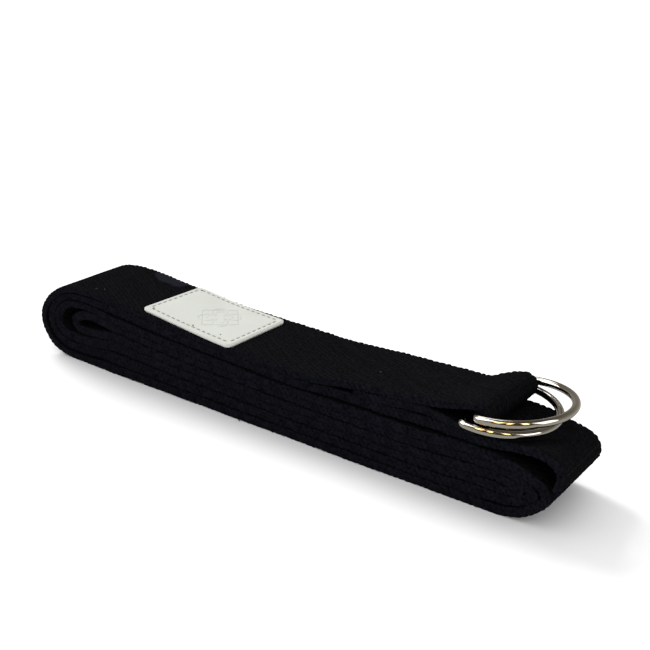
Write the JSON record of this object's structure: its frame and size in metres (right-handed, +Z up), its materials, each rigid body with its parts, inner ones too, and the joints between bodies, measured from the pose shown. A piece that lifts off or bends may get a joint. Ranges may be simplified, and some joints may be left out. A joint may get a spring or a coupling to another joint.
{
  "type": "stretching strap",
  "caption": "Long cotton webbing strap rolled into a flat bundle for storage, with a double D-ring buckle sewn into one end and a stitched blank patch on its top layer.",
  "frame": {"origin": "on the resting surface, at the middle of the whole bundle", "axes": "+X along the bundle towards the D-ring end, +Y across the strap, +Z up"},
  "size_m": [0.2714, 0.0461, 0.04],
  "materials": {
    "webbing": "matt woven cotton",
    "ring_metal": "polished nickel plate",
    "label": "smooth off-white leatherette",
    "label_thread": "off-white thread",
    "strap_thread": "black thread"
  },
  "bodies": {
    "strap": {"webbing": "webbing", "label": "label", "label_stitching": "label_thread", "tail_stitching": "strap_thread", "free_end_stitching": "strap_thread"},
    "ring_end": {"ring_loop": "webbing", "lower_d_ring": "ring_metal"},
    "upper_ring": {"upper_d_ring": "ring_metal"}
  },
  "joints": [
    {"name": "ring_end_lift", "type": "hinge", "parent": "strap", "child": "ring_end", "pos_m": [0.088, 0, 0.0326], "axis": [0, -1, 0], "range_deg": [0, 70]},
    {"name": "upper_ring_swing", "type": "hinge", "parent": "ring_end", "child": "upper_ring", "pos_m": [0.1027, 0.0004, 0.03475], "axis": [-0.0194, -0.9994, 0.0279], "range_deg": [0, 130]}
  ]
}
